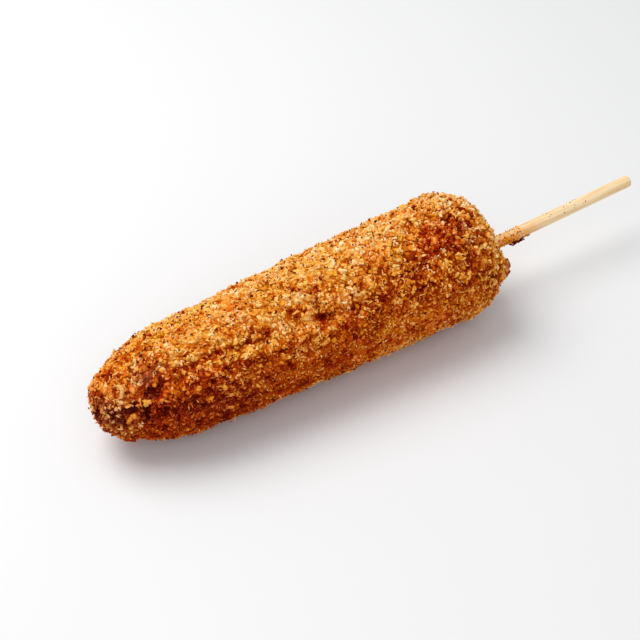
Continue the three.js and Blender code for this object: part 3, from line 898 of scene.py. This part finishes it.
# Crumbs of one to three lobes; a lobe lies beside the crumb's middle, and each kind is one piece.
def buildCrumbs(settings):
    rng = np.random.default_rng(settings["seed"])
    arc, angle = scatter(settings["spacing"], settings["stray"], rng)
    point, normal, dome, number = crustPlace(arc, angle)
    shades = shadesAt(arc, angle, dome, number)
    kept = rng.uniform(0, 1, len(arc)) > shades[2] - settings["bareKept"]
    kept = kept & (stickDistance(point) > settings["clearOfStick"])
    point, normal, tone, red, bare, contrast = (each[kept] for each in (point, normal, *shades))
    count = len(point)
    low, high = settings["radius"]
    radius = low + (high - low) * rng.beta(*settings["radiusBeta"], count)
    radius = radius * np.clip(contrast, *settings["coarserRange"]) ** settings["coarser"]
    stray = np.clip(rng.normal(0, 1, count), -settings["mixLimit"], settings["mixLimit"])
    tone = tone + settings["mix"] * contrast * stray
    red = red + settings["redMix"] * rng.normal(0, 1, count)
    bare = bare * rng.uniform(0, settings["bareMost"], count)
    centre = point + normal * (settings["lift"] * radius)[:, None]
    owner = np.repeat(np.arange(count), rng.choice((1, 2, 3), count, p=settings["lobes"]))
    lobes = len(owner)
    single = np.bincount(owner, minlength=count)[owner] == 1
    beside = sidewaysFrom(normal[owner], rng)
    share = settings["lobeReach"] * rng.uniform(*settings["lobeShare"], lobes)
    reach = np.where(single, 0, share) * radius[owner]
    lobeRadius = np.where(single, 1, rng.uniform(*settings["lobeRadius"], lobes)) * radius[owner]
    lobeTone = tone[owner] + settings["lobeMix"] * rng.normal(0, 1, lobes)
    lobeCentre = centre[owner] + beside * reach[:, None]
    sizes = crumbSizes(lobeRadius, settings["narrow"], settings["flat"], rng)
    pieces = []
    for name, (lowest, highest) in settings["kinds"].items():
        chosen = (tone[owner] >= lowest) & (tone[owner] < highest)
        material = friedMaterial(name[:-1] + "Coat", crumbFinish)
        places = (each[chosen] for each in (lobeCentre, normal[owner], sizes))
        values = {"tone": lobeTone[chosen], "red": red[owner][chosen], "bare": bare[owner][chosen]}
        pieces.append(crumbPiece(name, twentySided, *places, material, rng, **values))
    return pieces, (centre, normal, radius, tone, red)


crumbPieces, crumbPlaces = buildCrumbs(crumbSettings)

fineSettings = {
    "count": 5000,
    "radius": (0.28, 0.5),
    "narrow": (0.6, 1.0),
    "flat": (0.5, 1.0),
    "height": 0.5,  # share of the crumb's radius that carries it
    "aside": 0.45,
    "paler": 0.02,
    "mix": 0.04,
    "bare": 0.0,
    "seed": 107,
}
# The splinters' paler, pinker tone is a painted highlight: glints of oil on the crust.
splinterSettings = {
    "count": 3000,
    "radius": (0.7, 1.6),
    "narrow": (0.18, 0.36),
    "flat": (0.16, 0.3),
    "height": 0.66,
    "aside": 0.4,
    "paler": 0.17,
    "mix": 0.08,
    "bare": 0.14,
    "seed": 113,
}


# Small crumbs or thin splinters stuck on the outer side of the others and paler than they are; on
# the splinters the paler, pinker tone is a painted highlight, glints of oil.
def buildStuck(name, settings):
    rng = np.random.default_rng(settings["seed"])
    count = settings["count"]
    chosen = rng.choice(len(crumbPlaces[0]), count, replace=False)
    centre, normal, radius, tone, red = (each[chosen] for each in crumbPlaces)
    place = centre + normal * (settings["height"] * radius)[:, None]
    place = place + settings["aside"] * np.cross(normal, rng.normal(0, 1, (count, 3)))
    sizes = crumbSizes(rng.uniform(*settings["radius"], count), settings["narrow"], settings["flat"], rng)
    tone = tone - settings["paler"] + settings["mix"] * rng.normal(0, 1, count)
    shades = {"tone": tone, "red": red, "bare": np.full(count, settings["bare"])}
    material = friedMaterial(name + "Coat", crumbFinish)
    return crumbPiece(name, eightSided, place, normal, sizes, material, rng, **shades)


fineCrumbs = buildStuck("fineCrumbs", fineSettings)
splinterCrumbs = buildStuck("splinterCrumbs", splinterSettings)

# Smooth kernels and bits: distance from the tip, angle, half length in mm, narrowness, tone, how red.
kernels = (
    (15.8, 145.8, 1.4, 0.8, 0.45, 0.5), (16.9, 148, 1.7, 0.85, 0.45, 0.45),  # yellow kernel
    (18.1, 147, 1.4, 0.7, 0.42, 0.5),
    (8.9, 169, 0.9, 0.8, 0.56, 0.4), (9.6, 165, 1.0, 0.8, 0.52, 0.4),  # golden flake
    (10.3, 162, 1.0, 0.8, 0.54, 0.4), (11.0, 159, 0.9, 0.8, 0.5, 0.4),
    (27.3, 134.5, 1.4, 0.5, 0.55, 0.9), (24.1, 124, 1.5, 0.6, 0.62, 1.0),  # orange bits
    (7.0, 108, 1.4, 0.5, 0.56, 0.8),
    (176, 120, 1.4, 0.6, 0.5, 0.4),  # amber bit
)  # fmt: skip
kernelSettings = {
    "rough": 0.2,
    "tilt": 0.2,
    "height": 0.5,
    "flat": (0.6, 0.8),
    "finish": dict(crumbFinish, specular=0.1, roughness=0.35),
    "seed": 109,
}


def buildKernels(settings):
    rng = np.random.default_rng(settings["seed"])
    along, degrees, radius, narrow, tone, red = np.array(kernels).T
    point, normal = crustSpot(along, degrees)
    flat = rng.uniform(*settings["flat"], len(radius))
    sizes = radius[:, None] * np.stack((np.ones_like(narrow), narrow, flat * narrow**0.5), -1)
    place = point + settings["height"] * normal
    material = friedMaterial("smoothKernel", settings["finish"])
    values = {"rough": settings["rough"], "tilt": settings["tilt"], "tone": tone, "red": red}
    return crumbPiece("kernelBits", roundSided, place, normal, sizes, material, rng, **values)


kernelBits = buildKernels(kernelSettings)

# Clumps of pale crumbs that stand out: distance from the tip, angle, radius in mm, tone, how red.
paleClumps = (
    (8.9, 134, 1.0, 0.22, 0.7), (12.7, 138.2, 0.7, 0.26, 0.7),  # bean at the tip, and behind it
    (6.3, 124.8, 0.8, 0.34, 0.6), (3.9, 119.8, 0.7, 0.34, 0.7),  # before it
    (18.6, 118, 0.8, 0.28, 0.9), (21.4, 121.5, 0.8, 0.32, 0.9),  # above the burnt pit
    (24.4, 118.5, 0.9, 0.28, 0.9), (27.2, 119, 0.8, 0.3, 0.9),
    (2.5, 126, 0.7, 0.44, 0.5), (3.3, 171, 1.2, 0.36, 0.4), (5.9, 156, 1.1, 0.4, 0.3),  # tip's front
    # the near-white one at 184 degrees is a painted highlight, not a crumb's own colour
    (1.8, 163, 1.0, 0.36, 0.4), (13.4, 184, 1.5, 0.04, 0.9),
    (27.1, 95, 1.3, 0.12, 0.6), (30.5, 95, 1.3, 0.16, 0.4),  # tip's top
    (31.7, 129.5, 1.0, 0.24, 0.5), (36.7, 120, 1.5, 0.18, 0.5),  # by the furrow
    (62, 140, 1.7, 0.3, 0.4), (87, 145, 1.5, 0.32, 0.5), (90, 104, 1.4, 0.16, 0.9),  # middle
    (69, 104, 2.4, 0.24, 0.3), (78, 116, 2.2, 0.24, 0.3), (97, 122, 2.2, 0.26, 0.4),
    (114, 138, 1.5, 0.26, 0.4), (122, 146, 1.3, 0.3, 0.6), (120, 127, 1.8, 0.24, 0.4),
    (185, 80, 2.0, 0.1, 0.4), (180, 81, 1.7, 0.12, 0.3), (162.7, 76, 1.9, 0.12, 0.4),  # thick end
    (157, 134.5, 1.8, 0.16, 0.4), (166, 125, 1.4, 0.18, 0.6), (189, 176, 1.4, 0.36, 0.4),
    (196, 125, 1.4, 0.32, 0.3), (147, 103, 1.6, 0.16, 0.4), (198, 104, 1.6, 0.3, 0.2),
    (197, 174, 0.9, 0.1, 0.8),  # flake's end
)  # fmt: skip
clumpSettings = {
    "pieces": 9,
    "reach": 0.9,
    "reachPower": 0.6,
    "size": (0.22, 0.5),
    "height": 0.4,
    "footHeight": 0.2,
    "mix": 0.08,
    "seed": 111,
}


# Each clump is a few rough crumbs round its place, the further from its middle the lower.
def buildClumps(settings):
    rng = np.random.default_rng(settings["seed"])
    along, degrees, radius, tone, red = np.repeat(np.array(paleClumps), settings["pieces"], axis=0).T
    point, normal = crustSpot(along, degrees)
    beside = sidewaysFrom(normal, rng)
    away = settings["reach"] * rng.uniform(0, 1, len(radius)) ** settings["reachPower"]
    height = settings["height"] * (1 - away**2) + settings["footHeight"]
    place = point + beside * (away * radius)[:, None] + normal * height[:, None]
    sizes = crumbSizes(radius * rng.uniform(*settings["size"], len(radius)), *plump, rng)
    tone = tone + settings["mix"] * rng.normal(0, 1, len(radius))
    material = friedMaterial("paleCrumb", crumbFinish)
    shades = {"tone": tone, "red": red}
    return crumbPiece("paleClumpCrumbs", twentySided, place, normal, sizes, material, rng, **shades)


paleCrumbs = buildClumps(clumpSettings)

# Curled crumbs: distance from the tip, angle, radius of the curl, thickness, share of a turn, where it
# starts in turns, tone, how red, how bare.
namedCurls = (
    (9.2, 117.5, 2.3, 1.1, 0.5, 0.72, 0.42, 0.1, 0.45),  # tip's cream curl
    (182.8, 97, 2.1, 0.62, 0.95, 0.1, 0.38, 0.3, 0.1),  # thick end ring
    (190, 86.5, 1.8, 0.6, 0.6, 0.0, 0.3, 0.4, 0.2),  # thick end bow
    (187, 174, 1.5, 0.5, 0.8, 0.4, 0.4, 0.4, 0.2),  # thick end's lower ring
)
curlSettings = {
    "count": 700,
    "usual": 0.15,  # how likely a place is, how much more so at the thick end and less at the tip
    "moreAtEnd": 2,
    "endPower": 4,
    "fewerAtTip": 0.1,
    "tipShare": 0.15,
    "curl": (0.6, 1.5),
    "thick": (0.24, 0.5),
    "thickMix": (0.7, 1.3),
    "endThickness": 0.35,
    "taperPower": 0.6,
    "turn": (0.12, 0.4),
    "start": (0, 1),
    "height": 0.6,
    "arch": 0.35,  # mm that a curl's middle stands higher than its ends
    "uneven": {"height": 0.25, "size": 0.8, "seed": 5},
    "variety": (40, 9),  # how fast that differs from one start and one radius to another
    "paler": 0.16,
    "bare": 0.15,
    "steps": 10,
    "sides": 6,
    "seed": 127,
}


# Tubes along arcs that lie on the crust: thick in their middle, thin at their ends, a little arched.
def buildCurls(settings):
    rng = np.random.default_rng(settings["seed"])
    count = settings["count"]
    centre, normal, _, tone, red = crumbPlaces
    share = np.clip((centre[:, 0] - tipX) / cobLength, 0, 1)
    chance = settings["usual"] + settings["moreAtEnd"] * share ** settings["endPower"]
    chance = chance - settings["fewerAtTip"] * (share < settings["tipShare"])
    chosen = rng.choice(len(centre), count, replace=False, p=chance / chance.sum())
    named = np.array(namedCurls).T
    point, outward = crustSpot(*named[:2])
    centre, normal = np.vstack((point, centre[chosen])), np.vstack((outward, normal[chosen]))
    drawn = [rng.uniform(*settings[kind], count) for kind in ("curl", "thick", "turn", "start")]
    drawn = drawn + [tone[chosen] - settings["paler"], red[chosen], np.full(count, settings["bare"])]
    curl, thick, turn, start, tone, red, bare = np.hstack((named[2:], drawn))
    # from each curl's middle, one way along the cob and the other round it
    first = unitRows(np.cross(np.cross(normal, (1, 0, 0)), normal))
    second = np.cross(normal, first)
    step = np.linspace(0, 1, settings["steps"])
    swept = 2 * np.pi * (start[:, None] + turn[:, None] * step)
    radial = np.cos(swept)[..., None] * first[:, None] + np.sin(swept)[..., None] * second[:, None]
    lift = settings["height"] + settings["arch"] * np.sin(np.pi * step)
    byStart, byCurl = settings["variety"]
    spot = np.broadcast_arrays(swept, byStart * start[:, None], byCurl * curl[:, None])
    reach = curl[:, None] * (1 + waveAt(np.stack(spot, -1), settings["uneven"]))
    path = centre[:, None] + radial * reach[..., None] + lift[:, None] * normal[:, None]
    side = fullTurn(settings["sides"])[:, None]
    across = np.cos(side) * normal[:, None, None] + np.sin(side) * radial[:, :, None]
    ends = settings["endThickness"]
    profile = thick[:, None] * (ends + (1 - ends) * np.sin(np.pi * step) ** settings["taperPower"])
    profile = profile * rng.uniform(*settings["thickMix"], profile.shape)
    points = path[:, :, None] + across * profile[..., None, None]
    points = np.concatenate((points.reshape(len(path), -1, 3), path[:, :1], path[:, -1:]), 1)
    faces = tubeFaces(settings["steps"], settings["sides"])
    material = friedMaterial("curledCrumb", crumbFinish)
    return copiesObject("curledCrumbs", points, faces, material, True, tone=tone, red=red, bare=bare)


curledCrumbs = buildCurls(curlSettings)

flakeSettings = {
    "place": (197.5, 165),  # distance from the tip and angle of the spot that it stands off
    "off": 1.8,
    "lower": 3.3,
    "lean": 1.4,  # how much further out its lower end is
    "across": (0.85, -0.53, -0.1),
    "length": 11.5,
    "halfWidth": 2.3,
    "widths": (0.75, 0.35),  # share of it at the foot, and how much more at the head
    "taperPower": 0.4,
    "halfThick": 0.4,
    "cup": 0.7,
    "ragged": 0.32,
    "unevenThickness": 0.5,
    "waves": (9, 2),  # how many there are along it and round it
    "uneven": {"height": 1, "size": 1.3, "seed": 61},
    "ends": (0.02, 0.98),  # share of the length where the first and the last ring are
    "rings": 30,
    "sides": 20,
    "tone": 0.57,
    "mottle": 0.22,
    "rimDarker": 0.24,  # at its outer rim
    "rim": (0.3, 1),  # share of the half width over which it darkens
    "red": 0.0,
    "bare": 0.3,
}


# A husk flake: an upright tube with a flat, cupped cross-section, ragged at its rims, narrower below.
def buildFlake(settings):
    distance, degrees = settings["place"]
    point, _ = formPlace(np.array([arcAt(distance)]), np.radians([degrees]))
    outward = unitRows(np.array(settings["across"]))
    upward = np.array((0.0, 0.0, 1.0))
    middle = point[0] + settings["off"] * outward - settings["lower"] * upward
    rings = np.linspace(*settings["ends"], settings["rings"])
    share, side = (each[:, None] for each in allPairs(rings, fullTurn(settings["sides"])))
    along, around = settings["waves"]
    spot = np.hstack((share * along, np.cos(side) * around, side * 0))
    uneven = waveAt(spot, settings["uneven"])[:, None]
    foot, more = settings["widths"]
    width = settings["halfWidth"] * np.sin(np.pi * share) ** settings["taperPower"]
    width = width * (foot + more * share) * (1 + settings["ragged"] * uneven)
    thick = settings["halfThick"] * (1 + settings["unevenThickness"] * uneven) * np.sin(side)
    thick = thick + settings["cup"] * np.cos(side) ** 2
    spine = settings["length"] * upward - settings["lean"] * outward
    points = middle + (share - 0.5) * spine + width * np.cos(side) * outward
    points = points + thick * np.cross(upward, outward)
    ends = middle + np.array((-0.5, 0.5))[:, None] * spine
    tone = settings["tone"] + settings["mottle"] * uneven
    tone = tone + settings["rimDarker"] * smoothStep(*settings["rim"], np.cos(side))
    tone = np.concatenate((tone[:, 0], (settings["tone"], settings["tone"])))
    faces = tubeFaces(settings["rings"], settings["sides"])
    material = friedMaterial("huskCoat", crumbFinish)
    shades = {name: np.full(len(tone), settings[name]) for name in ("red", "bare")}
    return meshObject("huskFlake", np.vstack((points, ends)), faces, material, tone=tone, **shades)


huskFlake = buildFlake(flakeSettings)

# Crumbs round and on the stick: how many, then ranges of distance from the cob's end, degrees from the
# stick's top towards its shown side, distance from the stick's axis, radius, tone and how red.
collarGroups = {
    "all round": (80, (-1.0, 1.8), (0, 360), (3.1, 4.2), (0.5, 1.0), (0.25, 0.85), (0.1, 0.7)),
    "dark point": (18, (1.4, 4.2), (125, 165), (3.4, 5.2), (0.5, 0.9), (0.78, 0.98), (0.4, 0.9)),
}
clingingGroups = {
    "pale on top": (54, (7, 20), (-75, 35), (3.0, 3.2), (0.25, 0.6), (0.18, 0.5), (-0.4, 0.1)),
    "dark on top": (9, (7, 20), (-60, 40), (3.3, 3.5), (0.22, 0.36), (0.85, 1.0), (0.0, 0.5)),
    "brown at the side": (30, (6, 20), (30, 95), (3.0, 3.3), (0.25, 0.65), (0.48, 0.8), (-0.2, 0.3)),
    "amber at the side": (24, (1, 20), (50, 130), (2.9, 3.1), (0.4, 0.9), (0.48, 0.64), (0.1, 0.4)),
    "dark clump": (34, (13.5, 21), (122, 162), (3.0, 4.3), (0.5, 1.0), (0.84, 1.0), (0.3, 0.9)),
    "behind the clump": (6, (20, 25), (105, 140), (2.9, 3.3), (0.4, 0.7), (0.6, 0.85), (0.2, 0.6)),
    "specks": (18, (4, 60), (-80, 60), (3.0, 3.1), (0.16, 0.3), (0.8, 1.0), (0.0, 0.5)),
}
# Specks with a place of their own: distance, angle, radius, tone.
clingingSpecks = (
    (19.0, 39, 0.45, 1.0), (16.9, 46, 0.4, 0.85), (16.4, -15, 0.3, 0.9), (20.3, -48, 0.35, 0.8),
    (38.6, 20, 0.3, 0.85), (37.3, -15, 0.25, 0.9), (45.8, 56, 0.3, 0.9), (47.0, 4, 0.3, 0.9),
    (48.9, 2, 0.25, 0.85), (51.9, -15, 0.35, 0.9), (52.9, 33, 0.3, 0.95), (59.4, 44, 0.5, 0.7),
)  # fmt: skip
clingingSettings = {"speckAway": 3.05, "speckRed": 0.2, "tilt": 0.3, "seed": 131}


# The crumbs of some groups, each value drawn evenly from its range, with the given specks after them.
def buildClinging(name, groups, specks, settings, rng):
    parts = []
    for count, *ranges in groups.values():
        parts.append(np.stack([rng.uniform(*limits, count) for limits in ranges]))
    if specks:
        distance, degrees, radius, tone = np.array(specks).T
        away, red = (np.full_like(tone, settings[kind]) for kind in ("speckAway", "speckRed"))
        parts.append(np.stack((distance, degrees, away, radius, tone, red)))
    distance, degrees, away, radius, tone, red = np.hstack(parts)
    place, outward = stickPlace(distance, degrees, away[:, None])
    sizes = crumbSizes(radius, *plump, rng)
    material = friedMaterial(name[:-1] + "Coat", crumbFinish)
    values = {"tilt": settings["tilt"], "tone": tone, "red": red}
    return crumbPiece(name, twentySided, place, outward, sizes, material, rng, **values)


clingingRng = np.random.default_rng(clingingSettings["seed"])
collarCrumbs = buildClinging("collarCrumbs", collarGroups, (), clingingSettings, clingingRng)
clingingParts = (clingingGroups, clingingSpecks, clingingSettings, clingingRng)
clingingCrumbs = buildClinging("clingingCrumbs", *clingingParts)

spiceColours = ((0.0, (112, 22, 2)), (0.45, (140, 36, 2)), (1.0, (176, 58, 6)))
seasoningSettings = {
    "count": 1650,
    "radius": (0.5, 1.25),
    "radiusPower": 2,  # above 1 makes small specks more common
    "shadePower": 1.5,  # and this one dark specks
    "thickest": (72, 94),  # distance from the tip and angle where it lies thickest
    "reach": (85, 55),
    "elsewhere": 0.25,
    "height": 0.56,  # share of the crumb's radius
    "aside": 0.2,
    "furthestAside": 0.3,
    "finish": dict(crumbFinish, golden=spiceColours, red=spiceColours, roughness=0.6, specular=0.0),
    "seed": 103,
}


# Specks on the outer side of chosen crumbs, thick round one place and thin elsewhere.
def buildSeasoning(settings):
    rng = np.random.default_rng(settings["seed"])
    centre, normal, radius, _, _ = crumbPlaces
    along = centre[:, 0] - tipX
    offset = centre - middleLine(along)
    middle, reach = settings["thickest"], settings["reach"]
    turned = turnFrom(middle[1], np.degrees(np.arctan2(offset[:, 2], offset[:, 1])))
    near = np.exp(-(((along - middle[0]) / reach[0]) ** 2) - (turned / reach[1]) ** 2)
    chance = settings["elsewhere"] + near
    count = settings["count"]
    chosen = rng.choice(len(centre), count, replace=False, p=chance / chance.sum())
    place = centre[chosen] + normal[chosen] * (settings["height"] * radius[chosen])[:, None]
    limit = settings["furthestAside"]
    place = place + np.clip(rng.normal(0, settings["aside"], place.shape), -limit, limit)
    shade = rng.uniform(0, 1, count) ** settings["shadePower"]
    low, high = settings["radius"]
    radius = low + (high - low) * (1 - shade) * rng.uniform(0, 1, count) ** settings["radiusPower"]
    sizes = crumbSizes(radius, *plump, rng)
    material = friedMaterial("darkSpice", settings["finish"])
    return crumbPiece("darkSeasoning", eightSided, place, normal[chosen], sizes, material, rng, tone=shade)


darkSeasoning = buildSeasoning(seasoningSettings)

stickSettings = {
    "sides": 72,
    "rings": 130,
    "rounding": 0.7,
    "roundingSteps": 6,
    "thinner": 0.03,
    "fibre": {"height": 0.035, "size": (9, 0.45, 0.45), "seed": 31},  # how the wood's fibres stand up
    "wander": {"height": 0.06, "size": (40, 6, 6), "seed": 37},
    "stain": (10, 55),  # distance from the cob over which the oil fades
    "stainPower": 2.5,
    "stainTurn": (-15, 62),  # degrees from the top over which it grows
    "blotchScale": 220.0,
    "blotch": 1.9,
    "grain": ((0.25, (230, 190, 138)), (0.5, (246, 215, 168)), (0.75, (254, 232, 194))),
    "grainScale": (30, 700, 700),
    "grainDepth": 0.05,
    "oil": (236, 148, 24),
    "roughness": 0.55,
    "specular": 0.15,
}


# A rod along the stick's line: its radius carried round, thinned at rounded ends, with faint long fibres.
def buildStick(settings):
    edge = np.linspace(0, np.pi / 2, settings["roundingSteps"])
    start, end = -stickForm["inside"], stickForm["outside"]
    rounding = settings["rounding"]
    inner = np.linspace(start + rounding, end - rounding, settings["rings"])[1:-1]
    lead, thin = rounding * (1 - np.cos(edge)), rounding * (1 - np.sin(edge))
    rings = np.concatenate((start + lead, inner, end - lead[::-1]))
    thin = np.concatenate((thin, np.zeros(len(inner)), thin[::-1]))
    distance, degrees = allPairs(rings, fullTurn(settings["sides"], 360))
    turned, full = np.radians(degrees), stickForm["radius"]
    local = np.stack((distance, full * np.cos(turned), full * np.sin(turned)), -1)
    radius = full - settings["thinner"] - np.repeat(thin, settings["sides"])
    radius = radius + waveAt(local, settings["fibre"]) + waveAt(local, settings["wander"])
    points, _ = stickPlace(distance, degrees, radius[:, None])
    points = np.vstack((points, stickExit + start * stickDirection, stickExit + end * stickDirection))
    lower = smoothStep(*settings["stainTurn"], np.abs(turnFrom(0, degrees)))
    faded = (1 - smoothStep(*settings["stain"], distance)) ** settings["stainPower"]
    stain = np.concatenate((faded * lower, (1, 0)))
    faces = tubeFaces(len(rings), settings["sides"])[:, ::-1]
    return meshObject("woodenStick", points, faces, woodMaterial(settings), stain=stain)


# Pale wood: long streaks, fine pores, and amber oil where the stain attribute is high.
def woodMaterial(settings):
    material, nodes, links, shader = newMaterial("paleBirch")
    place = nodes.new("ShaderNodeTexCoord").outputs["Object"]
    mapping = nodes.new("ShaderNodeMapping")
    mapping.inputs["Rotation"].default_value = (0, math.radians(stickForm["tilt"]), 0)
    mapping.inputs["Scale"].default_value = settings["grainScale"]
    links.new(place, mapping.inputs["Vector"])
    grain = addNoise(nodes, links, mapping.outputs[0], scale=1.0, detail=4.0)
    blotches = addNoise(nodes, links, place, settings["blotchScale"])
    blotch = addMath(nodes, links, "MULTIPLY", blotches, settings["blotch"])
    stained = addMath(nodes, links, "MULTIPLY", addAttribute(nodes, "stain"), blotch)
    bareWood = addRamp(nodes, links, grain, settings["grain"])
    colour = addMix(nodes, links, stained, bareWood, linear(*settings["oil"]))
    links.new(colour, shader.inputs["Base Color"])
    shader.inputs["Roughness"].default_value = settings["roughness"]
    shader.inputs["Specular IOR Level"].default_value = settings["specular"]
    addBump(nodes, links, grain, settings["grainDepth"], shader)
    return material


woodenStick = buildStick(stickSettings)

finePieces = (fineCrumbs, splinterCrumbs, kernelBits, paleCrumbs, curledCrumbs)
otherPieces = (huskFlake, collarCrumbs, darkSeasoning)
for piece in (crustSurface, *crumbPieces, *finePieces, *otherPieces):
    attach(piece, "root")
    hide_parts("crusted_cob")
for piece, slot in ((woodenStick, "stick_wood"), (clingingCrumbs, "crust")):
    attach(piece, "root")
    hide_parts("stick")
